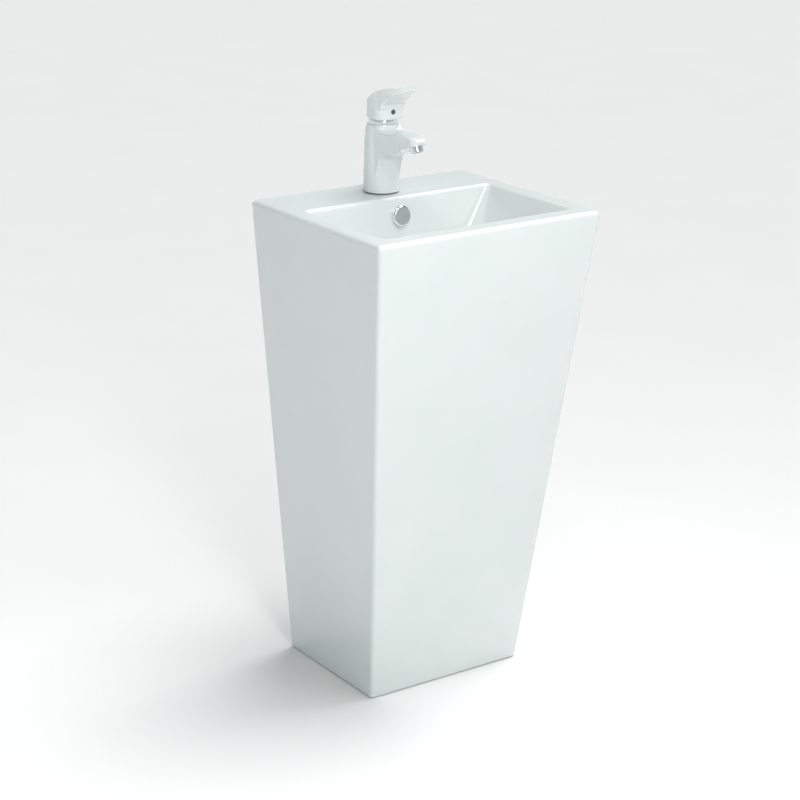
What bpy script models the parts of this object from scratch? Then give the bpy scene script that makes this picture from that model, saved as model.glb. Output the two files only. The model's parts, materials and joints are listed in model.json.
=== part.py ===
"""Floor-standing one-piece pedestal sink with a single-lever mixer, push waste and bottle trap.

Frame: metres, +Z up, the user stands at -Y and the wall is the plane at +Y.
The origin is on the floor, under the middle of the sink's outline.
"""
import math

import bmesh
import bpy
from mathutils import Matrix, Vector

MM = 0.001
GAP = 0.3                      # mm, clearance between pieces that touch

# Driving dimensions, in millimetres -------------------------------------------------
SINK_WIDTH = 445.0             # across the rim
SINK_DEPTH = 397.0             # rim front to wall
RIM_Z = 850.0                  # rim above the floor
FOOT_WIDTH = 315.0             # across the base
FRONT_RAKE = 128.0             # how far the front slopes back from rim to floor
WALL = 12.0                    # ceramic wall
DECK = 16.0                    # ceramic thickness at the tap deck
SIDE_RIM = 31.5
FRONT_RIM = 38.0
DECK_DEPTH = 124.0             # wall to the bowl's back edge
EDGE_R = 8.0                   # rounded rim edges
CORNER_R = 7.0                 # upright outer corners
BOWL_CORNER_R = 10.0           # plan corners of the bowl at the rim
CORNER_GROWTH = 0.58           # how fast they widen as the side walls come in
BOWL_DEPTH = 128.0             # rim to the foot of the bowl's walls
SIDE_SLOPE = math.radians(27)  # bowl walls, from vertical
FRONT_SLOPE = math.radians(24)
BACK_SLOPE = math.radians(5)
FLOOR_FILLET = 44.0
WALL_Y = SINK_DEPTH / 2        # plane of the wall
FRONT_Y = -SINK_DEPTH / 2

DRAIN_Y = -38.0                # waste, on the bowl's floor
SEAT_Z = 715.0                 # flat seat of the waste in the bowl's floor
BOSS_Z = 698.0                 # underside of the ceramic around the waste
WASTE_HOLE_R = 23.0
BOSS_R = 42.0                  # thickened ring of ceramic around the waste
RECESS_R = 33.0
OVERFLOW_DEPTH = 32.5          # overflow hole below the rim
OVERFLOW_HOLE_R = 12.0
DUCT_OFFSET = 12.5             # bowl surface to the middle of the overflow channel

TAP_BASE_Y = 129.0             # centre of the tap hole and of the tap's foot
CART_Y = 125.0                 # cartridge axis, on which the handle swivels
PIVOT_Z = RIM_Z + 121.0        # lift axis of the handle
TAP_HOLE_R = 17.5
BODY_TOP = 121.0               # top of the tap body above the deck
SPOUT_REACH = 105.0            # foot centre to aerator centre
AERATOR_SEAT = 94.6            # aerator's seat under the spout, above the deck
AERATOR_TILT = math.radians(19)
LEVER_ARM = 13.5               # stem ball below the lift axis
HOOD_FRONT = 36.5              # flat front of the handle, forward of the foot's centre
SCREW_DIP = math.radians(11.5)  # clamp screw's slope down to the handle's front
DISC_REST = 2.5                # moving disc's centre behind the cartridge axis when shut

TRAP_Z = 470.0                 # underside of the trap's body, where the cup screws on
OUTLET_Z = 545.0               # trap outlet above the floor
PLUG_TRAVEL = 9.0

MATERIALS = {
    "glazed_ceramic": ((0.88, 0.90, 0.89), 0.12, 0.0),
    "white_paint": ((0.86, 0.88, 0.87), 0.18, 0.0),
    "chrome": ((0.75, 0.77, 0.78), 0.08, 1.0),
    "brass": ((0.78, 0.60, 0.28), 0.30, 1.0),
    "steel": ((0.60, 0.61, 0.62), 0.32, 1.0),
    "white_plastic": ((0.82, 0.83, 0.82), 0.40, 0.0),
    "grey_plastic": ((0.10, 0.105, 0.11), 0.45, 0.0),
    "disc_ceramic": ((0.70, 0.70, 0.68), 0.20, 0.0),
    "rubber": ((0.05, 0.05, 0.05), 0.70, 0.0),
}


# Scene helpers ----------------------------------------------------------------------
def clear_scene():
    for item in list(bpy.data.objects):
        bpy.data.objects.remove(item, do_unlink=True)


def material(name):
    found = bpy.data.materials.get(name)
    if found:
        return found
    colour, roughness, metallic = MATERIALS[name]
    made = bpy.data.materials.new(name)
    made.use_nodes = True
    shader = made.node_tree.nodes["Principled BSDF"]
    shader.inputs["Base Color"].default_value = (*colour, 1.0)
    shader.inputs["Roughness"].default_value = roughness
    shader.inputs["Metallic"].default_value = metallic
    return made


def add_object(name, bm, slot=None, at=(0, 0, 0), turn=None):
    """Store a bmesh built in millimetres as an object in metres, placed at a point."""
    bmesh.ops.remove_doubles(bm, verts=bm.verts, dist=1e-4)
    bmesh.ops.recalc_face_normals(bm, faces=bm.faces)
    bmesh.ops.scale(bm, vec=(MM, MM, MM), verts=bm.verts)
    mesh = bpy.data.meshes.new(name)
    bm.to_mesh(mesh)
    bm.free()
    mesh.shade_smooth()
    mesh.set_sharp_from_angle(angle=math.radians(35))
    item = bpy.data.objects.new(name, mesh)
    bpy.context.collection.objects.link(item)
    item.matrix_world = Matrix.Translation(Vector(at) * MM) @ (turn or Matrix())
    if slot:
        mesh.materials.append(material(slot))
    return item


def joined(target, other, operation, solver="EXACT"):
    """Boolean a helper object into the target; the helper stays hidden."""
    other.hide_render = True
    other.display_type = "WIRE"
    step = target.modifiers.new(operation.lower(), "BOOLEAN")
    step.operation = operation
    step.solver = solver
    step.object = other
    return target


def cut(target, *others, solver="EXACT"):
    for other in others:
        joined(target, other, "DIFFERENCE", solver)
    return target


def add(target, *others):
    for other in others:
        joined(target, other, "UNION")
    return target


# Shape helpers, all in millimetres ---------------------------------------------------
def loft(loops):
    """Skin a list of loops that hold equal numbers of points, and cap both ends."""
    bm = bmesh.new()
    rings = [[bm.verts.new(p) for p in loop] for loop in loops]
    for low, high in zip(rings, rings[1:]):
        for i in range(len(low)):
            j = (i + 1) % len(low)
            bm.faces.new((low[i], low[j], high[j], high[i]))
    bm.faces.new(reversed(rings[0]))
    bm.faces.new(rings[-1])
    return bm


def turned(profile, segments=20):
    """Turn a closed outline of (radius, height) points about Z."""
    bm = bmesh.new()
    verts = [bm.verts.new((r if r > 1e-6 else 0, 0, z)) for r, z in profile]
    edges = [bm.edges.new((a, b)) for a, b in zip(verts, verts[1:] + verts[:1])
             if a.co.x > 0 or b.co.x > 0]
    bmesh.ops.spin(bm, geom=verts + edges, axis=(0, 0, 1), cent=(0, 0, 0),
                   angle=math.tau, steps=segments, use_merge=True)
    return bm


def tube(outer, inner, low, high):
    return [(outer, high), (outer, low), (inner, low), (inner, high)]


def rod(radius, low, high):
    return [(0, high), (radius, high), (radius, low), (0, low)]


def prism(outline, low, high, along="Z"):
    """Extrude a flat outline: (x, y) along Z, or (y, z) along X."""
    place = (lambda a, b, c: (a, b, c)) if along == "Z" else (lambda a, b, c: (c, a, b))
    return loft([[place(a, b, c) for a, b in outline] for c in (low, high)])


def block(low, high):
    (x0, y0, z0), (x1, y1, z1) = low, high
    return prism([(x0, y0), (x1, y0), (x1, y1), (x0, y1)], z0, z1)


def arc(cx, cy, radius, start, stop, steps):
    """Points on an arc; angles in degrees."""
    angles = [math.radians(start + (stop - start) * i / steps) for i in range(steps + 1)]
    return [(cx + radius * math.cos(a), cy + radius * math.sin(a)) for a in angles]


def curve_through(points, steps):
    """A Catmull-Rom curve through a few outline points."""
    ends = [points[0], *points, points[-1]]
    result = []
    for a, b, c, d in zip(ends, ends[1:], ends[2:], ends[3:]):
        for i in range(steps):
            t = i / steps
            result.append(tuple(
                0.5 * (2 * q + (r - p) * t + (2 * p - 5 * q + 4 * r - s) * t * t
                       + (3 * q - p - 3 * r + s) * t ** 3)
                for p, q, r, s in zip(a, b, c, d)))
    return result + [points[-1]]


def hexagon(across_flats):
    radius = across_flats / math.sqrt(3)
    return arc(0, 0, radius, 0, 300, 5)


def rounded_box_loop(half_width, front, back, front_r, back_r, z, steps=4):
    """A horizontal rounded rectangle, symmetric about X = 0."""
    corners = ((half_width - back_r, back - back_r, back_r, 0),
               (-half_width + back_r, back - back_r, back_r, 90),
               (-half_width + front_r, front + front_r, front_r, 180),
               (half_width - front_r, front + front_r, front_r, 270))
    return [(x, y, z) for cx, cy, r, a in corners for x, y in arc(cx, cy, r, a, a + 90, steps)]


def turned_piece(name, profile, slot, at, segments=20, turn=None):
    return add_object(name, turned(profile, segments), slot, at, turn)


def drill(name, radius, start, end, segments=16):
    """A cylinder between two points, used as a cutter."""
    start, end = Vector(start), Vector(end)
    length = (end - start).length
    turn = (end - start).to_track_quat("Z", "Y").to_matrix().to_4x4()
    return add_object(name, turned(rod(radius, 0, length), segments), None, start, turn)


# Ceramic sink ------------------------------------------------------------------------
def shell_loop(z, inset=0.0, rim_inset=0.0):
    """Outline of the tapered pedestal at height z, moved in by an inset."""
    share = min(z / (RIM_Z - EDGE_R), 1.0)
    half = (FOOT_WIDTH + (SINK_WIDTH - FOOT_WIDTH) * share) / 2 - inset - rim_inset
    front = FRONT_Y + FRONT_RAKE * (1 - share) + inset + rim_inset
    back = WALL_Y - inset - rim_inset
    radius = max(CORNER_R - inset / 2, 3.0)
    return rounded_box_loop(half, front, back, radius, radius, z)


def bowl_inset(depth, slope):
    """How far a bowl wall has come in at a depth: a round lip, a straight slope, a round foot."""
    sine, cosine = math.sin(slope), math.cos(slope)
    lip = EDGE_R * (1 - sine)
    if depth < lip:
        start = lip * math.tan(slope) - EDGE_R * cosine
        return start + math.sqrt(EDGE_R ** 2 - (EDGE_R - depth) ** 2)
    straight = BOWL_DEPTH - FLOOR_FILLET * (1 - sine)
    if depth <= straight:
        return depth * math.tan(slope)
    sine = min(sine + (depth - straight) / FLOOR_FILLET, 1.0)
    return straight * math.tan(slope) + FLOOR_FILLET * (cosine - math.sqrt(1 - sine * sine))


def bowl_loop(depth, grow=0.0, drop=0.0):
    """Outline of the bowl at a depth, moved out by grow and down by drop."""
    side = SINK_WIDTH / 2 - SIDE_RIM - bowl_inset(depth, SIDE_SLOPE) + grow
    front = FRONT_Y + FRONT_RIM + bowl_inset(depth, FRONT_SLOPE) - grow
    back = WALL_Y - DECK_DEPTH - bowl_inset(depth, BACK_SLOPE) + grow
    inward = bowl_inset(depth, SIDE_SLOPE)
    radius = BOWL_CORNER_R + max(CORNER_GROWTH * inward, -inward) + grow
    return rounded_box_loop(side, front, back, radius, radius, RIM_Z - depth - drop)


def round_loop(radius, z):
    """A circle about the drain with the same number of points as the bowl's loops."""
    return rounded_box_loop(radius, DRAIN_Y - radius, DRAIN_Y + radius, radius, radius, z)


def bowl_depths():
    foot = BOWL_DEPTH - FLOOR_FILLET * (1 - math.sin(SIDE_SLOPE))
    angles = [math.radians(a) for a in (27, 45, 63, 78)]
    return [foot / 2] + [foot + FLOOR_FILLET * (math.sin(a) - math.sin(SIDE_SLOPE)) for a in angles]


def ceramic_outer():
    """Pedestal, rim and bowl surface as one skin, from the base up and down to the seat."""
    loops = [shell_loop(0, inset=1.5), shell_loop(1.5), shell_loop(RIM_Z - EDGE_R)]
    for angle in (30, 60, 90):
        a = math.radians(angle)
        loops.append([(x, y, RIM_Z - EDGE_R * (1 - math.sin(a))) for x, y, _ in
                      shell_loop(RIM_Z, rim_inset=EDGE_R * (1 - math.cos(a)))])
    loops += [bowl_loop(depth) for depth in (0.0, 1.1, 3.8, 7.0)]
    loops += [bowl_loop(depth) for depth in bowl_depths()]
    loops += [round_loop(RECESS_R + 5, SEAT_Z + 5.5), round_loop(RECESS_R, SEAT_Z + 4.5),
              round_loop(RECESS_R - 1, SEAT_Z)]
    return loft(loops)


def duct_loop(y, z, lean, width, thick):
    """Cross-section of the overflow duct; lean is its thickness direction, from Y towards Z."""
    dy, dz = math.cos(lean) * thick / 2, math.sin(lean) * thick / 2
    return [(-width / 2, y - dy, z - dz), (width / 2, y - dy, z - dz),
            (width / 2, y + dy, z + dz), (-width / 2, y + dy, z + dz)]


def overflow_duct(width, thick, top, end_y):
    """The cast channel behind the bowl's back wall and under its floor to the waste."""
    foot = BOWL_DEPTH - FLOOR_FILLET * (1 - math.sin(BACK_SLOPE))
    stations = [(top, BACK_SLOPE), (foot, BACK_SLOPE)]
    for degrees in (38, 60, 78):
        lean = math.radians(degrees)
        stations.append((foot + FLOOR_FILLET * (math.sin(lean) - math.sin(BACK_SLOPE)), lean))
    loops = []
    for depth, lean in stations:
        y = WALL_Y - DECK_DEPTH - bowl_inset(depth, BACK_SLOPE) + DUCT_OFFSET * math.cos(lean)
        z = RIM_Z - depth - DUCT_OFFSET * math.sin(lean)
        loops.append(duct_loop(y, z, -lean, width, thick))
    loops.append(duct_loop(end_y, SEAT_Z - 6, -math.pi / 2, width, thick))
    return loft(loops)


def ceramic_cavity():
    """The hollow inside the pedestal, around the bowl, the waste boss and the duct."""
    top = RIM_Z - DECK
    cavity = add_object("cavity", loft([shell_loop(z, inset=WALL) for z in (-4.0, top)]))
    shell = [bowl_loop(EDGE_R, grow=WALL, drop=-EDGE_R)]
    shell += [bowl_loop(d, grow=WALL, drop=WALL * d / BOWL_DEPTH) for d in bowl_depths()]
    shell += [round_loop(BOSS_R + 8, BOSS_Z + 11), round_loop(BOSS_R, BOSS_Z + 6),
              round_loop(BOSS_R - 1, BOSS_Z)]
    bowl = add_object("bowl_back", loft(shell))
    duct = add_object("duct_casing", overflow_duct(56.0, 20.0, 5, DRAIN_Y + 27))
    return cut(cavity, bowl, duct, solver="MANIFOLD")


def overflow_frame():
    """Centre of the overflow hole on the bowl's wall, and the turn that aims Z out of it."""
    y = WALL_Y - DECK_DEPTH - bowl_inset(OVERFLOW_DEPTH, BACK_SLOPE)
    outward = Vector((0, -math.cos(BACK_SLOPE), math.sin(BACK_SLOPE)))
    return Vector((0, y, RIM_Z - OVERFLOW_DEPTH)), outward


def ceramic_body():
    body = add_object("ceramic_body", ceramic_outer(), "glazed_ceramic")
    access = [(-112, -4), (112, -4), (146, 600), *arc(118, 612, 28, 0, 90, 4),
              *arc(-118, 612, 28, 90, 180, 4), (-146, 600)]
    opening = loft([[(x, y, z) for x, z in access] for y in (WALL_Y - WALL - 4, WALL_Y + 4)])
    centre, outward = overflow_frame()
    cut(body,
        ceramic_cavity(),
        add_object("rear_access", opening),
        drill("tap_hole", TAP_HOLE_R, (0, TAP_BASE_Y, RIM_Z + 5), (0, TAP_BASE_Y, RIM_Z - 40), 24),
        drill("waste_hole", WASTE_HOLE_R, (0, DRAIN_Y, RIM_Z), (0, DRAIN_Y, BOSS_Z - 5), 24),
        add_object("duct_bore", overflow_duct(40.0, 9.0, 17, DRAIN_Y + 18)),
        drill("overflow_hole", OVERFLOW_HOLE_R, centre + outward * 6, centre - outward * 13, 20),
        solver="MANIFOLD")
    return body


def overflow_pieces():
    """Push-in bush in the ceramic, and the raised cap that hides it; water enters below."""
    centre, outward = overflow_frame()
    turn = outward.to_track_quat("Z", "Y").to_matrix().to_4x4()
    r = OVERFLOW_HOLE_R - GAP
    bush = [(r, -7.5), (r - 1.8, -7.5), (r - 1.8, 3), (r + 2.5, 3), (r + 2.5, GAP), (r, GAP)]
    turned_piece("overflow_bush", bush, "white_plastic", centre, 20, turn)
    face, skirt, rise = 17.8, 16.0, 8.5
    profile = [(0, rise), (face - 1.2, rise), (face, rise - 1.2), (face, 0.9), (skirt, 0.9),
               (skirt, rise - 3), (5, rise - 3), (5, 4.5), (0, 4.5)]
    cap = turned_piece("overflow_cap", profile, "chrome", centre, 28, turn)
    arm = add_object("cap_arm", block((-8.5, -2, -6), (8.5, 2, rise - 2)), at=centre, turn=turn)
    mouth = add_object("cap_mouth", block((-9, -25, -1), (9, -10, 4.8)), at=centre, turn=turn)
    add(cap, arm)
    cut(cap, mouth)


# Mixer tap ---------------------------------------------------------------------------
def tap_point(forward, height, x=0.0):
    """A point given forward of the tap's foot centre and above the deck."""
    return (x, TAP_BASE_Y - forward, RIM_Z + height)


def tap_plan(points):
    """Plan outline (forward, x) as (x, y)."""
    return [(x, TAP_BASE_Y - u) for u, x in points]


def tap_outline(points):
    """Side outline (forward, height) as (y, z)."""
    return [(TAP_BASE_Y - u, RIM_Z + h) for u, h in points]


def spout():
    """Plan taper with a round nose, crossed with the side view."""
    nose, root = 16.2, 27.4
    plan = tap_plan([(4, root), *arc(SPOUT_REACH, 0, nose, 84, -84, 10), (4, -root)])
    under = curve_through([(12, 22), (20, 36), (26, 52), (31, 64.5), (42, 71), (66, 80.5), (90, 89.8)], 2)
    top = curve_through([(122, 106), (117, 109.5), (100, 112.2), (70, 111.6), (46, 108.5), (35, 109),
                         (27, 113), (20, 118), (8, 119.5)], 2)
    side = tap_outline([*under, (118.5, 99.6), *top])
    piece = add_object("spout_side", prism(side, -40, 40, "X"))
    joined(piece, add_object("spout_plan", prism(plan, RIM_Z, RIM_Z + 130)), "INTERSECT")
    soften = piece.modifiers.new("soften", "BEVEL")
    soften.width = 3.0 * MM
    soften.segments = 2
    soften.limit_method = "ANGLE"
    soften.angle_limit = math.radians(50)
    return piece


def faucet_body():
    """Slightly leaning column with its spout, drilled for the cartridge and the water."""
    rings = ((1.6, 31.8, 0.0), (40, 31.1, 0.25), (80, 30.2, 0.8), (105, 29.4, 1.5),
             (114, 28.4, 2.4), (118.5, 27.2, 3.2), (BODY_TOP, 26.0, 3.8))
    column = [[tap_point(shift + radius * math.cos(a), height, radius * math.sin(a))
               for a in [math.tau * i / 28 for i in range(28)]]
              for height, radius, shift in rings]
    body = add_object("faucet_body", loft(column), "white_paint")
    add(body, spout())
    floor, top = RIM_Z + 88, RIM_Z + BODY_TOP
    aerator, down = aerator_frame()
    cut(body,
        add_object("cartridge_bore", turned([(0, top + 4), (20.4, top + 4), (20.4, RIM_Z + 112.5),
                   (17.8, RIM_Z + 112.5), (17.8, floor), (0, floor)], 28), at=(0, CART_Y, 0)),
        drill("foot_recess", 22, tap_point(0, -5), tap_point(0, 20), 24),
        *[drill(f"inlet_{s}", 4.2, tap_point(-1, 15, s * 6.5), (s * 6.5, CART_Y + 5, floor + 2))
          for s in (-1, 1)],
        *[drill(f"stud_socket_{s}", 3.3, tap_point(7.5, 15, s * 11), tap_point(7.5, 31, s * 11))
          for s in (-1, 1)],
        drill("outlet_down", 4.5, (0, CART_Y - 8, floor + 2), (0, CART_Y - 8, floor - 9)),
        drill("outlet_along", 3.7, (0, CART_Y - 5, floor - 6), (0, CART_Y - 96, RIM_Z + 103)),
        drill("aerator_bore", 11.2, aerator + down * 6, aerator - down * 6.6, 24))
    return body


def aerator_frame():
    """Point on the spout's underside at the aerator, and the direction the water leaves."""
    down = Vector((0, -math.sin(AERATOR_TILT), -math.cos(AERATOR_TILT)))
    return Vector(tap_point(SPOUT_REACH, AERATOR_SEAT)), down


def aerator_pieces():
    centre, down = aerator_frame()
    turn = down.to_track_quat("Z", "Y").to_matrix().to_4x4()
    cup = [(12.4, 0.8), (12.4, 9.0), (11.6, 9.8), (8.4, 9.8), (8.4, 8.6), (9.6, 8.6),
           (9.6, -4.4), (10.9, -4.4), (10.9, 0.8)]
    turned_piece("aerator_housing", cup, "chrome", centre, 28, turn)
    turned_piece("aerator_washer", tube(10.7, 7.0, -6.2, -4.8), "rubber", centre, 20, turn)
    insert = turned_piece("aerator_insert", [(0, 8.2), (9.2, 8.2), (9.2, -3.8), (8.0, -3.8),
                          (8.0, 4.0), (0, 4.0)], "grey_plastic", centre, 20, turn)
    cells = [(0, 0)] + [(5.2 * math.cos(math.tau * i / 6), 5.2 * math.sin(math.tau * i / 6))
                        for i in range(6)]
    for i, (x, y) in enumerate(cells):
        hole = turned([(0, 12), (1.7, 12), (1.7, 0), (0, 0)], 6)
        bmesh.ops.translate(hole, verts=hole.verts, vec=(x, y, 0))
        cut(insert, add_object(f"aerator_cell_{i}", hole, at=centre, turn=turn))


def cartridge_pieces():
    """Single-lever cartridge: two ceramic discs, a swivelling carrier and a rocking stem."""
    at = (0, CART_Y, RIM_Z)
    ports = ((-6.5, 5), (6.5, 5), (0, -8))

    def with_ports(name, profile, slot, segments=24):
        piece = turned_piece(name, profile, slot, at, segments)
        for i, (x, y) in enumerate(ports):
            hole = turned(rod(2.8, 80, 110), 12)
            bmesh.ops.translate(hole, verts=hole.verts, vec=(x, y, 0))
            cut(piece, add_object(f"{name}_port_{i}", hole, at=at))

    with_ports("cartridge_seal", rod(14.0, 88.3, 90.2), "rubber")
    with_ports("cartridge_base", rod(15.0, 90.5, 99.7), "grey_plastic")
    with_ports("fixed_disc", rod(14.6, 100.0, 103.9), "disc_ceramic")
    turned_piece("cartridge_housing", [(17.4, 92), (17.4, 112.8), (14.6, 112.8), (14.6, 128.5),
                 (10.6, 128.5), (10.6, 126.3), (13.3, 126.3), (13.3, 109.2), (15.4, 109.2),
                 (15.4, 92)], "white_plastic", at, 28)
    carrier = turned_piece("cartridge_carrier", [(0, 131), (10.3, 131), (10.3, 126), (13.0, 126),
                           (13.0, 109.5), (0, 109.5)], "grey_plastic", at, 24)
    slot = prism([(-10.6, 108), (8.6, 108), (3.6, 118), (3.6, 120.5), (9.2, 133),
                  (-3.6, 133), (-3.6, 124), (-6, 118)], -3.4, 3.4, "X")
    cut(carrier, add_object("stem_slot", slot, at=at),
        drill("pin_bore", 1.6, (-20, CART_Y, PIVOT_Z), (20, CART_Y, PIVOT_Z)))
    turn = Matrix.Rotation(math.radians(90), 4, "Y")
    turned_piece("carrier_pin", rod(1.5, -12.4, 12.4), "steel", (0, CART_Y, PIVOT_Z), 16, turn)
    turned_piece("cartridge_nut", tube(20.0, 14.9, 113.1, 121.2), "brass", at, 28)
    hexed = add_object("nut_hex", prism(hexagon(33), 119.5, 125.5), at=at)
    nut = bpy.data.objects["cartridge_nut"]
    add(nut, hexed)
    cut(nut, add_object("nut_bore", turned(rod(14.9, 100, 140), 28), at=at))


def moving_disc():
    at = (0, CART_Y + DISC_REST, RIM_Z)
    disc = turned_piece("moving_disc", rod(10.0, 104.2, 109.0), "disc_ceramic", at, 24)
    pocket = drill("stem_pocket", 3.1, (0, CART_Y, RIM_Z + 105.4), (0, CART_Y, RIM_Z + 112), 16)
    return cut(disc, pocket)


def cartridge_stem():
    """Square stem on the lift axis; its round foot pushes the moving disc."""
    pivot = (0, CART_Y, PIVOT_Z)
    stem = add_object("cartridge_stem", block((-3.0, -3.2, -10), (3.0, 3.2, 37)), "steel", pivot)
    ball = -LEVER_ARM
    foot = turned([(0, -9), (1.7, -9), (1.7, ball + 1.8), (2.3, ball + 1.0), (2.5, ball),
                   (2.3, ball - 1.0), (1.4, ball - 1.6), (0, ball - 1.6)], 14)
    add(stem, add_object("stem_foot", foot, at=pivot))
    cut(stem, drill("stem_pin_bore", 1.6, (-20, CART_Y, PIVOT_Z), (20, CART_Y, PIVOT_Z)))
    return stem


def bonnet_ring():
    """Chrome cover over the nut, a ball zone about the lift axis, so the handle clears it."""
    ball, inner, crown = 25.8, 23.6, 17.0
    rise = math.degrees(math.asin(crown / ball))
    outer = arc(0, 0, ball, 0.7, rise, 6)
    inside = arc(0, 0, inner, math.degrees(math.asin((crown - 1.6) / inner)), 15, 4)
    profile = [*outer, (14.0, crown), (14.0, crown - 1.6), *inside, (20.9, 5.0), (20.9, 0.3)]
    return turned_piece("bonnet_ring", profile, "chrome", (0, CART_Y, PIVOT_Z), 24)


def lever_handle():
    """Hooded handle: round at the back, flat in front, with a pointed lever rising forward."""
    hood = [*arc(4, 0, 27.6, 90, 270, 12), *arc(19.7, -10.3, 17.3, -90, 0, 5),
            *arc(19.7, 10.3, 17.3, 0, 90, 5)]
    edge = [(22, 26.8), (40, 25.6), (50, 24.3), (63.5, 21.5), (75, 17), (84, 12.4), (92, 7.3), (98, 3.2)]
    lever = [*arc(4, 0, 27.0, 90, 270, 12), *[(u, -x) for u, x in edge],
             *arc(99.3, 0, 2.4, -60, 60, 3), *reversed(edge)]
    body = add_object("lever_handle", prism(tap_plan(hood), RIM_Z + 130.8, RIM_Z + 200), "white_paint")
    add(body, add_object("lever_plan", prism(tap_plan(lever), RIM_Z + 150.5, RIM_Z + 200)))
    under = curve_through([(HOOD_FRONT, 157), (46, 165), (60, 173), (80, 182), (101, 189)], 2)
    top = curve_through([(95, 192.5), (85, 191.8), (60, 189), (40, 185.5), (25, 180.5), (10, 173),
                         (-4, 164), (-16, 155), (-24, 146.5)], 2)
    side = tap_outline([(-40, 134.4), (4, 130.6), (HOOD_FRONT, 130.6), *under, (103, 190.4),
                        (101.5, 191.6), *top, (-40, 135)])
    joined(body, add_object("handle_side", prism(side, -40, 40, "X")), "INTERSECT")
    soften = body.modifiers.new("soften", "BEVEL")
    soften.width = 1.2 * MM
    soften.segments = 1
    soften.limit_method = "ANGLE"
    soften.angle_limit = math.radians(50)
    pivot = Vector((0, CART_Y, PIVOT_Z))
    dome = [(0, -30), (26.4, -30), *arc(0, 0, 26.4, 0, 90, 10)]
    screw = screw_frame()
    cut(body,
        add_object("handle_dome", turned(dome, 28), at=pivot),
        handle_hollow(screw),
        add_object("stem_socket", block((-3.3, -3.5, 10), (3.3, 3.5, 38.5)), at=pivot),
        drill("screw_tunnel", 2.8, screw @ Vector((0, 0, -1)), screw @ Vector((0, 0, 45))),
        drill("index_seat", 4.3, screw @ Vector((0, 0, 25.4)), screw @ Vector((0, 0, 45))))
    return body


def handle_hollow(screw):
    """Room inside the hood around the bosses of the stem and the screw."""
    rear, front = arc(4, 0, 24.0, 90, 270, 10), arc(8.5, 0, 24.0, -90, 90, 10)
    hollow = add_object("handle_hollow", prism(tap_plan(rear + front), RIM_Z + 125, RIM_Z + 200))
    roof = curve_through([(37, 171), (25, 174), (10, 167), (-4, 158.5), (-13, 151.5), (-21, 143)], 2)
    side = tap_outline([(-30, 120), (37, 120), *roof, (-30, 138)])
    joined(hollow, add_object("hollow_side", prism(side, -40, 40, "X")), "INTERSECT")
    boss = turned(rod(9.5, RIM_Z + 140, RIM_Z + 190), 16)
    cut(hollow, add_object("stem_boss", boss, at=(0, CART_Y, 0)),
        drill("screw_boss", 6.5, screw @ Vector((0, 0, 0)), screw @ Vector((0, 0, 40))))
    return hollow


def screw_frame():
    """Frame on the stem's front face whose Z runs out along the handle's clamp screw."""
    start = Vector((0, CART_Y - 3.2, PIVOT_Z + 28.5))
    return Matrix.Translation(start) @ Matrix.Rotation(math.radians(90) + SCREW_DIP, 4, "X")


def handle_details():
    """Grub screw that grips the stem, and the small plug that hides it."""
    frame = screw_frame()
    at, turn = frame.to_translation(), frame.to_quaternion().to_matrix().to_4x4()
    screw = turned_piece("handle_screw", rod(2.5, 1.0, 10.0), "steel", at, 14, turn)
    cut(screw, add_object("screw_socket", prism(hexagon(2.5), 7, 12), at=at, turn=turn))
    turned_piece("index_cap", [(0, 31.2), (3.2, 31.2), (4.0, 30.5), (4.0, 25.7), (0, 25.7)],
                 "grey_plastic", at, 16, turn)


def tap_fixings():
    """Gasket above the deck; rubber and steel horseshoes, two studs and two nuts below it."""
    deck = RIM_Z - DECK
    turned_piece("tap_gasket", tube(28.5, 19.0, GAP, 1.3), "rubber", tap_point(0, 0), 28)

    def horseshoe(name, slot, low, high):
        plate = add_object(name, turned(rod(24.0, low, high)), slot, (0, TAP_BASE_Y, deck))
        cut(plate, add_object(f"{name}_slot", block((-8.5, -1, low - 3), (8.5, 30, high + 3)),
                              at=(0, TAP_BASE_Y, deck)),
            *[drill(f"{name}_hole_{s}", 3.4, (s * 11, TAP_BASE_Y - 7.5, deck),
                    (s * 11, TAP_BASE_Y - 7.5, deck - 12)) for s in (-1, 1)])

    horseshoe("clamp_washer", "rubber", -3.3, -GAP)
    horseshoe("clamp_plate", "steel", -5.6, -3.6)
    for side, s in (("left", -1), ("right", 1)):
        at = (s * 11, TAP_BASE_Y - 7.5, 0)
        turned_piece(f"stud_{side}", rod(3.0, deck - 24, RIM_Z + 30), "steel", at, 14)
        nut = add_object(f"stud_nut_{side}", prism(hexagon(10), deck - 11.0, deck - 5.9), "brass", at)
        cut(nut, drill(f"nut_bore_{side}", 3.3, (at[0], at[1], deck), (at[0], at[1], deck - 20), 14))


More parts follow.
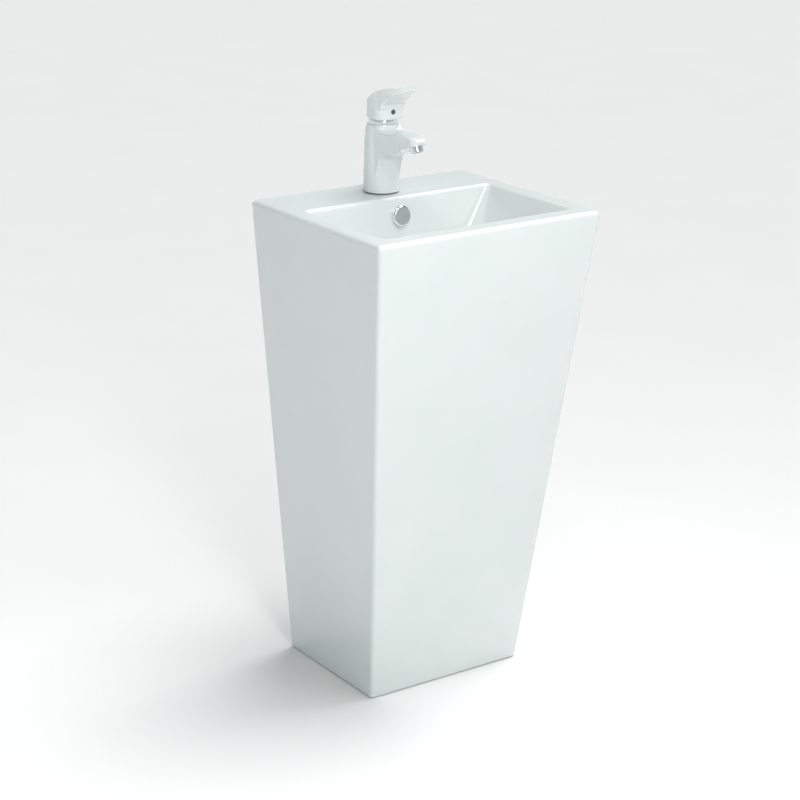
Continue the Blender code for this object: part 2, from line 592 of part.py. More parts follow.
# Waste -------------------------------------------------------------------------------
def waste_pieces():
    at = (0, DRAIN_Y, 0)
    turned_piece("flange_seal", tube(30.5, 23.5, SEAT_Z + GAP, SEAT_Z + 1.3), "rubber", at, 28)
    flange = SEAT_Z + 1.6
    profile = [(31.2, flange), (31.8, flange + 1.2), (22.0, flange + 0.6), (18.8, flange - 2.5),
               (18.8, 640), (21.0, 640), (21.0, flange)]
    body = turned_piece("waste_body", profile, "chrome", at, 28)
    bridge = block((-20, -3, 692), (20, 3, 697))
    hub = turned(rod(7.5, 690, 699), 16)
    add(body, add_object("waste_bridge", bridge, at=at), add_object("waste_hub", hub, at=at))
    cut(body, drill("latch_bore", 4.4, (0, DRAIN_Y, 680), (0, DRAIN_Y, 705)),
        *[add_object(f"overflow_slot_{s}", block((-8, s * 12 - 8, 701), (8, s * 12 + 8, 711)),
                     at=(0, DRAIN_Y + s * 8, 0)) for s in (-1, 1)])
    turned_piece("waste_washer", tube(31.0, 21.4, BOSS_Z - 3.3, BOSS_Z - GAP), "rubber", at, 28)
    nut = add_object("waste_nut", prism(hexagon(52), BOSS_Z - 12.6, BOSS_Z - 3.6), "brass", at)
    cut(nut, drill("waste_nut_bore", 21.3, (0, DRAIN_Y, BOSS_Z), (0, DRAIN_Y, BOSS_Z - 20), 28))


def plug_pieces():
    """Push plug, shown open: cap, seal and stem move together on a fixed latch."""
    at = (0, DRAIN_Y, 0)
    low = SEAT_Z + 4.6 + PLUG_TRAVEL
    dome = [(0, low + 5.0), (12, low + 4.6), (22, low + 3.4), (28.5, low + 1.6), (29.5, low),
            (13, low), (13, low - 4.5), (0, low - 4.5)]
    cap = turned_piece("plug_cap", dome, "chrome", at, 28)
    cut(cap, drill("plug_thread", 2.8, (0, DRAIN_Y, low - 10), (0, DRAIN_Y, low)))
    turned_piece("plug_seal", tube(17.6, 13.3, low - 4.2, low - 0.3), "rubber", at, 24)
    turned_piece("plug_stem", [(0, low - 1), (2.5, low - 1), (2.5, low - 4.8), (3.6, low - 4.8),
                 (3.6, low - 7), (2.4, low - 7), (2.4, 693), (0, 693)], "brass", at, 14)
    latch = [(4.1, 681), (4.1, 699.5), (6.2, 699.5), (6.2, 701.5), (2.7, 701.5), (2.7, 681)]
    turned_piece("plug_latch", latch, "brass", at, 16)


def plug_spring():
    """Return spring on the stem, between the latch and the plug."""
    low, high, coils, radius, wire = 702.6, SEAT_Z + PLUG_TRAVEL - 3.4, 4, 4.9, 0.5
    path = bpy.data.curves.new("plug_spring", "CURVE")
    path.dimensions = "3D"
    path.bevel_depth = wire * MM
    path.bevel_resolution = 1
    path.use_fill_caps = True
    count = coils * 10 + 1
    line = path.splines.new("POLY")
    line.points.add(count - 1)
    for i, point in enumerate(line.points):
        share = i / (count - 1)
        angle = math.tau * coils * share
        point.co = (*(Vector((radius * math.cos(angle), radius * math.sin(angle),
                              low + (high - low) * share)) * MM), 1.0)
    path.materials.append(material("steel"))
    spring = bpy.data.objects.new("plug_spring", path)
    bpy.context.collection.objects.link(spring)
    spring.location = (0, DRAIN_Y * MM, 0)


# Bottle trap -------------------------------------------------------------------------
def grip_nut(name, low, high, outer, bore, at, slot="chrome", turn=None, lip=0.0):
    """Round coupling nut with six finger scallops."""
    profile = [(outer, low + 1), (outer, high - 1), (outer - 1, high), (bore, high)]
    if lip:
        profile += [(bore, low + 3), (bore - lip, low + 3), (bore - lip, low), (outer - 1, low)]
    else:
        profile += [(bore, low), (outer - 1, low)]
    nut = turned_piece(name, profile, slot, at, 20, turn)
    for i in range(6):
        angle = math.tau * i / 6
        groove = turned(rod(4.0, low + 2, high + 2), 8)
        shift = outer + 2.6
        bmesh.ops.translate(groove, verts=groove.verts,
                            vec=(shift * math.cos(angle), shift * math.sin(angle), 0))
        cut(nut, add_object(f"{name}_scallop_{i}", groove, at=at, turn=turn))
    return nut


def trap_inlet():
    at = (0, DRAIN_Y, 0)
    tail = 640.0
    turned_piece("inlet_washer", tube(20.2, 15.0, tail - 2.3, tail - GAP), "rubber", at, 24)
    turned_piece("inlet_tube", [(20.0, tail - 4.3), (20.0, tail - 2.6), (14.5, tail - 2.6),
                 (14.5, TRAP_Z + 25), (16.0, TRAP_Z + 25), (16.0, tail - 4.3)], "chrome", at, 24)
    grip_nut("inlet_nut", tail - 8, tail + 14, 25.0, 21.4, at, lip=4.5)


def trap_body():
    """Bottle: neck on top, side outlet towards the wall, open screw end below."""
    top = TRAP_Z + 108
    at = (0, DRAIN_Y, 0)
    profile = [(32, TRAP_Z + 4), (32, top - 18), (28, top - 12), (20, top - 10), (20, top + 6),
               (16.6, top + 6), (16.6, top - 13), (24, top - 15), (29.5, top - 20), (29.5, TRAP_Z + 4)]
    body = turned_piece("trap_body", profile, "chrome", at, 24)
    start = 26.0
    stub = turned([(0, start), (18.5, start), (18.5, 50), (0, 50)], 24)
    turn = Matrix.Rotation(math.radians(-90), 4, "X")
    add(body, add_object("outlet_stub", stub, at=(0, DRAIN_Y, OUTLET_Z), turn=turn))
    cut(body, add_object("bottle_bore", turned([(0, top - 15), (24, top - 15), (29.5, top - 20),
                         (29.5, TRAP_Z), (0, TRAP_Z)], 24), at=at),
        drill("outlet_bore", 16.4, (0, DRAIN_Y, OUTLET_Z), (0, DRAIN_Y + 60, OUTLET_Z), 24))
    turned_piece("trap_neck_washer", tube(20.0, 16.3, top + 6.3, top + 9.0), "rubber", at, 24)
    grip_nut("trap_neck_nut", -(top + 13), -(top - 8), 25.0, 20.4, at,
             turn=Matrix.Rotation(math.pi, 4, "X"), lip=3.8)
    return body


def trap_cup():
    """Screw-on cleaning cup with its seal and a grip ring."""
    at = (0, DRAIN_Y, 0)
    z = TRAP_Z
    turned_piece("cup_seal", tube(32.0, 28.0, z + 1.4, z + 3.7), "rubber", at, 28)
    cup = [(35.5, z + 16), (35.5, z - 6), (31, z - 22), (18, z - 30), (0, z - 32), (0, z - 29.5),
           (17, z - 27.5), (27.5, z - 20), (27.5, z + 1), (32.4, z + 1), (32.4, z + 16)]
    turned_piece("trap_cup", cup, "chrome", at, 24)


def trap_outlet():
    """Straight tube through the wall plane, with its nut, washer and wall plate."""
    turn = Matrix.Rotation(math.radians(-90), 4, "X")
    at = (0, DRAIN_Y, OUTLET_Z)
    wall = WALL_Y - DRAIN_Y
    turned_piece("outlet_washer", tube(18.3, 16.3, 50.3, 53.5), "rubber", at, 24, turn)
    turned_piece("outlet_tube", tube(16.0, 14.5, 34.0, wall), "chrome", at, 24, turn)
    flip = Matrix.Rotation(math.radians(90), 4, "X")
    grip_nut("outlet_nut", -58, -39, 23.5, 18.9, at, turn=flip, lip=2.4)
    plate = [(16.5, wall - 9), (20, wall - 9), (24, wall - 5), (35, wall - 2), (35, wall - GAP),
             (16.5, wall - GAP)]
    turned_piece("wall_plate", plate, "chrome", at, 28, turn)


def handle_pivot():
    """Empty at the lift axis that carries the handle's pieces."""
    place = Matrix.Translation(Vector((0, CART_Y, PIVOT_Z)) * MM)
    pivot = bpy.data.objects.new("handle_pivot", None)
    bpy.context.collection.objects.link(pivot)
    pivot.matrix_world = place
    for name in ("lever_handle", "handle_screw", "index_cap"):
        piece = bpy.data.objects[name]
        piece.parent = pivot
        piece.matrix_parent_inverse = place.inverted()


def build():
    clear_scene()
    ceramic_body()
    overflow_pieces()
    faucet_body()
    aerator_pieces()
    cartridge_pieces()
    moving_disc()
    cartridge_stem()
    bonnet_ring()
    lever_handle()
    handle_details()
    handle_pivot()
    tap_fixings()
    waste_pieces()
    plug_pieces()
    plug_spring()
    trap_inlet()
    trap_body()
    trap_cup()
    trap_outlet()


build()
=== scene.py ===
"""Looks of a pedestal sink: fine meshes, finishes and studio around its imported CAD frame.

Lengths are millimetres in the row frame (floor at Z 0, front towards -Y) until add_object
turns them into metres. The lights and the camera are placed in metres.
"""
import json
import math

import bmesh
import bpy
from mathutils import Matrix, Vector

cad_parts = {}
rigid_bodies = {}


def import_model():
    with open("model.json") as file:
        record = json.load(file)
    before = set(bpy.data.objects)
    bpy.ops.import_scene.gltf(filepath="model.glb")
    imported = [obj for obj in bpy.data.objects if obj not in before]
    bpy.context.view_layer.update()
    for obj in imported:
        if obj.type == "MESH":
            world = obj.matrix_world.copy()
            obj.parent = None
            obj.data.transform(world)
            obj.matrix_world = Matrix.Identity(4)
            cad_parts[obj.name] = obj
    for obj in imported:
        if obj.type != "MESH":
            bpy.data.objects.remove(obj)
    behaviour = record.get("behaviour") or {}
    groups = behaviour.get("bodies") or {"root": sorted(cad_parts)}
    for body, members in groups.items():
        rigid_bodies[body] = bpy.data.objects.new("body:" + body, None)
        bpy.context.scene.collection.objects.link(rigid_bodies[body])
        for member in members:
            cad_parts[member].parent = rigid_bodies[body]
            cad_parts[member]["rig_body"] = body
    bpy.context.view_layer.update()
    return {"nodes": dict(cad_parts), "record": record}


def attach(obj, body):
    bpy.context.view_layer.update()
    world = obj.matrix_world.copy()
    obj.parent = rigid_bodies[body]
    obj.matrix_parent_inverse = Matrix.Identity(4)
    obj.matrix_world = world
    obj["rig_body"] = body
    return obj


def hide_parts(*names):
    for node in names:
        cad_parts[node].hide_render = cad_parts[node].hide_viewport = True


MM = 0.001

# Sink ------------------------------------------------------------------------------
SINK_WIDTH, SINK_DEPTH, RIM_Z = 445.0, 397.0, 850.0
FOOT_WIDTH, FRONT_RAKE = 315.0, 128.0
WALL, DECK = 12.0, 16.0
SIDE_RIM, FRONT_RIM, DECK_DEPTH = 31.5, 38.0, 124.0
EDGE_R, CORNER_R = 8.0, 7.0
BOWL_CORNER_R, CORNER_GROWTH = 10.0, 0.58
BOWL_DEPTH, FLOOR_FILLET = 128.0, 44.0
SIDE_SLOPE, FRONT_SLOPE, BACK_SLOPE = (math.radians(a) for a in (27, 24, 5))
WALL_Y, FRONT_Y = SINK_DEPTH / 2, -SINK_DEPTH / 2
DRAIN_Y, SEAT_Z, BOSS_Z = -38.0, 715.0, 698.0
WASTE_HOLE_R, BOSS_R, RECESS_R = 23.0, 42.0, 33.0
OVERFLOW_DEPTH, OVERFLOW_HOLE_R = 32.5, 12.0
ARCH_HALF, ARCH_TOP, ARCH_R = 118.0, 612.0, 28.0      # opening in the back wall

# Tap -------------------------------------------------------------------------------
TAP_BASE_Y, CART_Y = 129.0, 125.0
PIVOT_Z = RIM_Z + 121.0
TAP_HOLE_R, BODY_TOP, SPOUT_REACH = 17.5, 121.0, 105.0
AERATOR_SEAT, HOOD_FRONT = 94.6, 36.5
AERATOR_TILT, SCREW_DIP = math.radians(19), math.radians(11.5)
STUD_X, STUD_FORWARD = 11.0, 7.5

# Waste and trap --------------------------------------------------------------------
TAIL_Z, TRAP_Z, OUTLET_Z = 640.0, 470.0, 545.0
PLUG_TRAVEL = 9.0
GAP = 0.3                              # clearance between pieces that face each other

# Mesh density ----------------------------------------------------------------------
CORNER_STEPS, SIDE_STEPS = 12, 6       # per plan corner and per side of a rounded box
ROUND = 96                             # segments of a turned piece
SHARP_ANGLE = math.radians(38)         # edges sharper than this stay creased

# Finishes and studio ---------------------------------------------------------------
NOISE_SPAN = (0.3, 0.7)                # values a noise texture mostly keeps between
FLOOR_HALF = 40000
HORIZON, OVERHEAD = (0.88, 1.0, 0.99, 1), (0.0, 0.0, 0.0, 1)
OVERHEAD_FROM, SKY_STRENGTH = 0.7, 0.85
FOCAL_LENGTH, SENSOR_WIDTH, CLIP_END = 95.9, 36.0, 200.0
CAMERA_AT, CAMERA_BACK = (-2.0140, -2.8881, 1.6639), (-0.53422, -0.78520, 0.31316)


# Mesh helpers ----------------------------------------------------------------------
def link(name, data):
    """New object in the scene."""
    item = bpy.data.objects.new(name, data)
    bpy.context.collection.objects.link(item)
    return item


def add_object(name, bm, at=(0, 0, 0), turn=None):
    """Store a bmesh built in millimetres as an object in metres."""
    bmesh.ops.remove_doubles(bm, verts=bm.verts, dist=1e-3)
    bmesh.ops.recalc_face_normals(bm, faces=bm.faces)
    bmesh.ops.transform(bm, matrix=turn or Matrix(), verts=bm.verts)
    bmesh.ops.translate(bm, vec=at, verts=bm.verts)
    bmesh.ops.scale(bm, vec=(MM, MM, MM), verts=bm.verts)
    mesh = bpy.data.meshes.new(name)
    bm.to_mesh(mesh)
    bm.free()
    return link(name, mesh)


def settle(item, *helpers):
    """Apply an object's modifiers, then drop the helpers they used."""
    graph = bpy.context.evaluated_depsgraph_get()
    mesh = bpy.data.meshes.new_from_object(item.evaluated_get(graph))
    item.modifiers.clear()
    item.data = mesh
    for helper in helpers:
        bpy.data.objects.remove(helper)
    return item


def combine(item, others, operation="DIFFERENCE"):
    """Boolean each of the others into the item in turn."""
    for other in others:
        step = item.modifiers.new(other.name, "BOOLEAN")
        step.operation, step.solver, step.object = operation, "EXACT", other
    return settle(item, *others)


def soften(item, width, segments=3, angle=50):
    """Round the edges sharper than an angle."""
    step = item.modifiers.new("soften", "BEVEL")
    step.width, step.segments = width * MM, segments
    step.limit_method, step.angle_limit = "ANGLE", math.radians(angle)
    return settle(item)


def melt(item, voxel, rounds):
    """Fuse the shells of an item into one skin and relax it, which fillets its edges."""
    step = item.modifiers.new("fuse", "REMESH")
    step.mode, step.voxel_size = "VOXEL", voxel * MM
    step = item.modifiers.new("relax", "SMOOTH")
    step.factor, step.iterations = 0.5, rounds
    return settle(item)


def loft(loops, ring=False):
    """Skin through loops of equal length; a ring joins the last loop back to the first."""
    bm = bmesh.new()
    rows = [[bm.verts.new(p) for p in loop] for loop in loops]
    pairs = list(zip(rows, rows[1:]))
    if ring:
        pairs.append((rows[-1], rows[0]))
    for low, high in pairs:
        for i in range(len(low)):
            j = (i + 1) % len(low)
            bm.faces.new((low[i], low[j], high[j], high[i]))
    if not ring:
        bm.faces.new(rows[0][::-1])
        bm.faces.new(rows[-1])
    return bm


def eased(profile, radius, steps=4):
    """Closed profile of (r, z) points with its corners off the axis rounded."""
    result = []
    for i, point in enumerate(profile):
        here, before = Vector(point), Vector(profile[i - 1])
        after = Vector(profile[(i + 1) % len(profile)])
        to_before, to_after = before - here, after - here
        reach = min(radius, 0.42 * to_before.length, 0.42 * to_after.length)
        if here.x < 1e-6 or reach < 0.02 or abs(to_before.angle(to_after) - math.pi) < 0.12:
            result.append((here.x, here.y))
            continue
        start, end = here + to_before.normalized() * reach, here + to_after.normalized() * reach
        for k in range(steps + 1):
            t = k / steps
            point = start * (1 - t) ** 2 + here * 2 * t * (1 - t) + end * t ** 2
            result.append((point.x, point.y))
    return result


def turned(profile, segments=ROUND):
    """Solid of revolution about Z from a closed profile of (r, z) points."""
    bm = bmesh.new()
    angles = [math.tau * i / segments for i in range(segments)]
    rows = [[bm.verts.new((0, 0, z))] if r < 1e-6 else
            [bm.verts.new((r * math.cos(a), r * math.sin(a), z)) for a in angles]
            for r, z in profile]
    for low, high in zip(rows, rows[1:] + rows[:1]):
        for i in range(segments):
            j = (i + 1) % segments
            face = [low[i % len(low)], low[j % len(low)], high[j % len(high)], high[i % len(high)]]
            face = [v for k, v in enumerate(face) if v is not face[k - 1]]
            if len(set(face)) > 2:
                bm.faces.new(face)
    return bm


def tube(outer, inner, low, high):
    """Profile of a plain tube."""
    return [(outer, low), (outer, high), (inner, high), (inner, low)]


def rod(radius, low, high):
    """Profile of a plain round bar."""
    return [(0, low), (radius, low), (radius, high), (0, high)]


def prism(outline, low, high, along="Z"):
    """Extrude a plan outline along Z, or a (y, z) side outline along X."""
    if along == "Z":
        return loft([[(x, y, v) for x, y in outline] for v in (low, high)])
    return loft([[(v, y, z) for y, z in outline] for v in (low, high)])


def block(low, high):
    """Box between two opposite corners."""
    return prism([(low[0], low[1]), (high[0], low[1]), (high[0], high[1]), (low[0], high[1])],
                 low[2], high[2])


def arc(cx, cy, radius, start, stop, steps):
    """Points of a circular arc between two angles in degrees."""
    angles = [math.radians(start + (stop - start) * i / steps) for i in range(steps + 1)]
    return [(cx + radius * math.cos(a), cy + radius * math.sin(a)) for a in angles]


def curve_through(points, steps):
    """Smooth curve through the points (Catmull-Rom)."""
    pts = [Vector(p) for p in (points[0], *points, points[-1])]
    result = []
    for a, b, c, d in zip(pts, pts[1:], pts[2:], pts[3:]):
        for k in range(steps):
            t = k / steps
            p = 0.5 * (2 * b + (c - a) * t + (2 * a - 5 * b + 4 * c - d) * t ** 2
                       + (3 * b - a - 3 * c + d) * t ** 3)
            result.append(tuple(p))
    return result + [tuple(points[-1])]


def drill(name, radius, start, end, segments=48):
    """Cutter cylinder between two points."""
    start, end = Vector(start), Vector(end)
    turn = (end - start).to_track_quat("Z", "Y").to_matrix().to_4x4()
    return add_object(name, turned(rod(radius, 0, (end - start).length), segments), start, turn)


def ring_of(name, count, radius, profile, segments, at, turn=None):
    """Round bars parallel to Z, evenly spread on a circle."""
    bars = []
    for i in range(count):
        bar = turned(profile, segments)
        angle = math.tau * i / count
        bmesh.ops.translate(bar, verts=bar.verts,
                            vec=(radius * math.cos(angle), radius * math.sin(angle), 0))
        bars.append(add_object(f"{name}_{i}", bar, at, turn))
    return bars


def hexagon(across_flats):
    """Outline of a nut's six flats."""
    r = across_flats / math.sqrt(3)
    return arc(0, 0, r, 0, 300, 5)


# Materials -------------------------------------------------------------------------
def finish_material(name, colour, roughness, metallic=0.0):
    """A Principled material with its node tree ready for texture work."""
    made = bpy.data.materials.new(name)
    made.use_nodes = True
    shader = made.node_tree.nodes["Principled BSDF"]
    shader.inputs["Base Color"].default_value = (*colour, 1.0)
    shader.inputs["Roughness"].default_value = roughness
    shader.inputs["Metallic"].default_value = metallic
    return made, made.node_tree, shader


def noise(tree, scale, detail=3.0, stretch=(1, 1, 1)):
    """Noise value over an object's own coordinates in metres."""
    coords = tree.nodes.new("ShaderNodeTexCoord")
    mapping = tree.nodes.new("ShaderNodeMapping")
    mapping.inputs["Scale"].default_value = stretch
    made = tree.nodes.new("ShaderNodeTexNoise")
    made.inputs["Scale"].default_value = scale
    made.inputs["Detail"].default_value = detail
    tree.links.new(coords.outputs["Object"], mapping.inputs["Vector"])
    tree.links.new(mapping.outputs["Vector"], made.inputs["Vector"])
    return made.outputs["Fac"]


def vary(tree, value, socket, low, high):
    """Drive a number socket between two values."""
    span = tree.nodes.new("ShaderNodeMapRange")
    span.inputs["From Min"].default_value, span.inputs["From Max"].default_value = NOISE_SPAN
    span.inputs["To Min"].default_value = low
    span.inputs["To Max"].default_value = high
    tree.links.new(value, span.inputs["Value"])
    tree.links.new(span.outputs["Result"], socket)


def tint(tree, value, shader, dark, light):
    """Blend the base colour between two tones."""
    ramp = tree.nodes.new("ShaderNodeValToRGB")
    for stop, position, colour in zip(ramp.color_ramp.elements, NOISE_SPAN, (dark, light)):
        stop.position, stop.color = position, (*colour, 1.0)
    tree.links.new(value, ramp.inputs["Fac"])
    tree.links.new(ramp.outputs["Color"], shader.inputs["Base Color"])


def relief(tree, shader, *layers):
    """Bump from noise layers, each (value, strength, distance in mm)."""
    normal = None
    for value, strength, distance in layers:
        bump = tree.nodes.new("ShaderNodeBump")
        bump.inputs["Strength"].default_value = strength
        bump.inputs["Distance"].default_value = distance * MM
        tree.links.new(value, bump.inputs["Height"])
        if normal:
            tree.links.new(normal, bump.inputs["Normal"])
        normal = bump.outputs["Normal"]
    tree.links.new(normal, shader.inputs["Normal"])


def glaze():
    """Fired white glaze: glossy, faintly uneven in tone and level."""
    made, tree, shader = finish_material("glazed_ceramic", (0.72, 0.755, 0.745), 0.14)
    shader.inputs["IOR"].default_value = 1.52
    shader.inputs["Coat Weight"].default_value = 0.35
    shader.inputs["Coat Roughness"].default_value = 0.05
    tint(tree, noise(tree, 6.0, 4.0), shader, (0.705, 0.742, 0.732), (0.735, 0.766, 0.757))
    vary(tree, noise(tree, 60.0, 5.0), shader.inputs["Roughness"], 0.11, 0.19)
    relief(tree, shader, (noise(tree, 14.0, 2.0), 0.25, 0.35), (noise(tree, 420.0, 2.0), 0.06, 0.05))
    return made


def enamel():
    """White enamel on cast metal, with a fine orange peel."""
    made, tree, shader = finish_material("white_paint", (0.74, 0.775, 0.765), 0.12)
    shader.inputs["Coat Weight"].default_value = 0.6
    shader.inputs["Coat Roughness"].default_value = 0.04
    tint(tree, noise(tree, 40.0, 3.0), shader, (0.725, 0.765, 0.753), (0.755, 0.785, 0.776))
    vary(tree, noise(tree, 220.0, 4.0), shader.inputs["Roughness"], 0.09, 0.18)
    relief(tree, shader, (noise(tree, 260.0, 2.0), 0.12, 0.08))
    return made


def plating():
    """Polished chrome with faint wiping marks."""
    made, tree, shader = finish_material("chrome", (0.80, 0.83, 0.84), 0.06, 1.0)
    vary(tree, noise(tree, 180.0, 6.0, (1, 1, 6)), shader.inputs["Roughness"], 0.035, 0.11)
    tint(tree, noise(tree, 90.0, 3.0), shader, (0.77, 0.80, 0.81), (0.83, 0.855, 0.86))
    relief(tree, shader, (noise(tree, 900.0, 3.0, (1, 1, 8)), 0.05, 0.02))
    return made


def machined(name, dark, light, rough_low, rough_high):
    """Turned or rolled metal with fine tool lines."""
    made, tree, shader = finish_material(name, light, rough_high, 1.0)
    shader.inputs["Anisotropic"].default_value = 0.4
    lines = noise(tree, 300.0, 4.0, (1, 1, 14))
    tint(tree, noise(tree, 55.0, 4.0), shader, dark, light)
    vary(tree, lines, shader.inputs["Roughness"], rough_low, rough_high)
    relief(tree, shader, (lines, 0.25, 0.05))
    return made


def moulded(name, dark, light, roughness, grain):
    """Moulded plastic or rubber with a fine grain."""
    made, tree, shader = finish_material(name, light, roughness)
    tint(tree, noise(tree, 70.0, 3.0), shader, dark, light)
    vary(tree, noise(tree, 500.0, 3.0), shader.inputs["Roughness"],
         roughness - 0.08, roughness + 0.08)
    relief(tree, shader, (noise(tree, 1200.0, 2.0), grain, 0.05))
    return made


def make_finishes():
    """One finish for each material slot of the record."""
    return {
        "glazed_ceramic": glaze(),
        "white_paint": enamel(),
        "chrome": plating(),
        "brass": machined("brass", (0.55, 0.38, 0.14), (0.78, 0.58, 0.27), 0.22, 0.38),
        "steel": machined("steel", (0.42, 0.43, 0.44), (0.60, 0.61, 0.62), 0.24, 0.42),
        "white_plastic": moulded("white_plastic", (0.70, 0.71, 0.70), (0.78, 0.79, 0.78), 0.40, 0.15),
        "grey_plastic": moulded("grey_plastic", (0.07, 0.075, 0.078), (0.11, 0.116, 0.12), 0.42, 0.2),
        "disc_ceramic": moulded("disc_ceramic", (0.66, 0.66, 0.64), (0.74, 0.74, 0.72), 0.22, 0.05),
        "rubber": moulded("rubber", (0.02, 0.02, 0.022), (0.045, 0.045, 0.048), 0.62, 0.35),
    }


def place(item, slot, *nodes):
    """Give a fine piece its finish and let it stand for its CAD nodes on their body."""
    item.data.materials.clear()
    item.data.materials.append(FINISH[slot])
    item.data.shade_smooth()
    item.data.set_sharp_from_angle(angle=SHARP_ANGLE)
    item.modifiers.new("even_normals", "WEIGHTED_NORMAL").keep_sharp = True
    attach(item, BODY_OF[nodes[0]])
    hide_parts(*nodes)
    return item


def turned_piece(node, profile, slot, at=(0, 0, 0), turn=None, ease=0.6):
    """Turned fine piece with eased corners that stands for one CAD node."""
    item = add_object(f"fine_{node}", turned(eased(profile, ease)), at, turn)
    return place(item, slot, node)


# Ceramic ---------------------------------------------------------------------------
def box_loop(half, front, back, radius, z):
    """Rounded rectangle at height z, from its back right corner round to the right side."""
    corners = [(half - radius, back - radius), (radius - half, back - radius),
               (radius - half, front + radius), (half - radius, front + radius)]
    loop = []
    for q, (cx, cy) in enumerate(corners):
        here = arc(cx, cy, radius, 90 * q, 90 * q + 90, CORNER_STEPS)
        nx, ny = corners[(q + 1) % 4]
        goal = arc(nx, ny, radius, 90 * q + 90, 90 * q + 90, 1)[0]
        side = [(here[-1][0] + (goal[0] - here[-1][0]) * k / SIDE_STEPS,
                 here[-1][1] + (goal[1] - here[-1][1]) * k / SIDE_STEPS)
                for k in range(1, SIDE_STEPS)]
        loop += here + side
    return [(x, y, z) for x, y in loop]


def round_loop(radius, z):
    """Circle about the drain with the same points, evenly spread, as a rounded box."""
    count = 4 * (CORNER_STEPS + SIDE_STEPS)
    pad = 45 * SIDE_STEPS / (CORNER_STEPS + SIDE_STEPS)
    angles = [math.radians(pad + 360 * i / count) for i in range(count)]
    return [(radius * math.cos(a), DRAIN_Y + radius * math.sin(a), z) for a in angles]


def shell_loop(z, inset=0.0, corner=None):
    """Outline of the tapered pedestal at height z."""
    share = min(z / (RIM_Z - EDGE_R), 1.0)
    half = (FOOT_WIDTH + (SINK_WIDTH - FOOT_WIDTH) * share) / 2 - inset
    front = FRONT_Y + FRONT_RAKE * (1 - share) + inset
    radius = corner or max(CORNER_R - inset / 2, 3.0)
    return box_loop(half, front, WALL_Y - inset, radius, z)


def bowl_inset(depth, slope):
    """How far a bowl wall has come in at a depth: a round lip, a straight slope, a round foot."""
    sine, cosine = math.sin(slope), math.cos(slope)
    lip = EDGE_R * (1 - sine)
    if depth < lip:
        start = lip * math.tan(slope) - EDGE_R * cosine
        return start + math.sqrt(EDGE_R ** 2 - (EDGE_R - depth) ** 2)
    straight = BOWL_DEPTH - FLOOR_FILLET * (1 - sine)
    if depth <= straight:
        return depth * math.tan(slope)
    sine = min(sine + (depth - straight) / FLOOR_FILLET, 1.0)
    return straight * math.tan(slope) + FLOOR_FILLET * (cosine - math.sqrt(1 - sine * sine))


def bowl_loop(depth, grow=0.0, drop=0.0):
    """Outline of the bowl at a depth, grown outwards and dropped for the underside."""
    side = SINK_WIDTH / 2 - SIDE_RIM - bowl_inset(depth, SIDE_SLOPE) + grow
    front = FRONT_Y + FRONT_RIM + bowl_inset(depth, FRONT_SLOPE) - grow
    back = WALL_Y - DECK_DEPTH - bowl_inset(depth, BACK_SLOPE) + grow
    inward = bowl_inset(depth, SIDE_SLOPE)
    radius = BOWL_CORNER_R + max(CORNER_GROWTH * inward, -inward) + grow
    return box_loop(side, front, back, radius, RIM_Z - depth - drop)


def mixed(a, b, share):
    """Loop between two loops."""
    return [tuple(Vector(p).lerp(Vector(q), share)) for p, q in zip(a, b)]


def bowl_depths():
    """Depths of the bowl's loops, closer together on its rounded foot."""
    walls = [8, 12, 18, 26, 36, 48, 60, 72, 84, 94]
    foot = [BOWL_DEPTH - 34 * (1 - math.sin(math.radians(a))) for a in range(0, 91, 9)]
    return walls + foot[1:]


def ceramic_loops():
    """Every loop of the casting: up the outside, down the bowl, and back up and down inside."""
    loops = [shell_loop(z, inset) for z, inset in
             ((0, WALL), (0, 4.5), (1.2, 3), (2.6, 0.8), (4, 0))]
    loops += [shell_loop(z) for z in (60, 250, 450, 650, 780, RIM_Z - EDGE_R - 6)]
    for a in [math.radians(d) for d in range(0, 91, 10)]:
        inset = EDGE_R * (1 - math.cos(a))
        loop = shell_loop(RIM_Z, inset, CORNER_R - 0.45 * inset)
        loops.append([(x, y, RIM_Z - EDGE_R * (1 - math.sin(a))) for x, y, _ in loop])
    loops += [bowl_loop(d) for d in (0.0, 0.06, 0.25, 0.6, 1.1, 1.8, 2.7, 3.8, 5.2)]
    loops += [bowl_loop(d) for d in bowl_depths()]
    rim = round_loop(RECESS_R + 7, SEAT_Z + 5.7)
    floor = loops[-1]
    loops += [mixed(floor, rim, t) for t in (0.25, 0.5, 0.75)] + [rim]
    loops += [round_loop(RECESS_R + r, SEAT_Z + z) for r, z in
              ((4, 5.5), (2.2, 5.2), (0.9, 4.6), (0.2, 3.8), (0, 3), (0, 1.2), (-0.5, 0.3),
               (-1.5, 0))]
    loops += [round_loop(WASTE_HOLE_R + r, SEAT_Z - z) for r, z in ((1, 0), (0.3, 0.3), (0, 1))]
    loops += [round_loop(WASTE_HOLE_R, BOSS_Z), round_loop(BOSS_R - 1, BOSS_Z),
              round_loop(BOSS_R, BOSS_Z + 6), round_loop(BOSS_R + 8, BOSS_Z + 11)]
    loops += [bowl_loop(d, WALL, WALL * d / BOWL_DEPTH) for d in bowl_depths()[:4:-1]]
    loops.append([(x, y, RIM_Z - DECK) for x, y, _ in bowl_loop(24, WALL, 4)])
    loops.append(shell_loop(RIM_Z - DECK, inset=WALL))
    return loops


def overflow_frame():
    """Centre of the overflow on the bowl's back wall, and the way that the wall faces."""
    y = WALL_Y - DECK_DEPTH - bowl_inset(OVERFLOW_DEPTH, BACK_SLOPE)
    outward = Vector((0, -math.cos(BACK_SLOPE), math.sin(BACK_SLOPE)))
    return Vector((0, y, RIM_Z - OVERFLOW_DEPTH)), outward


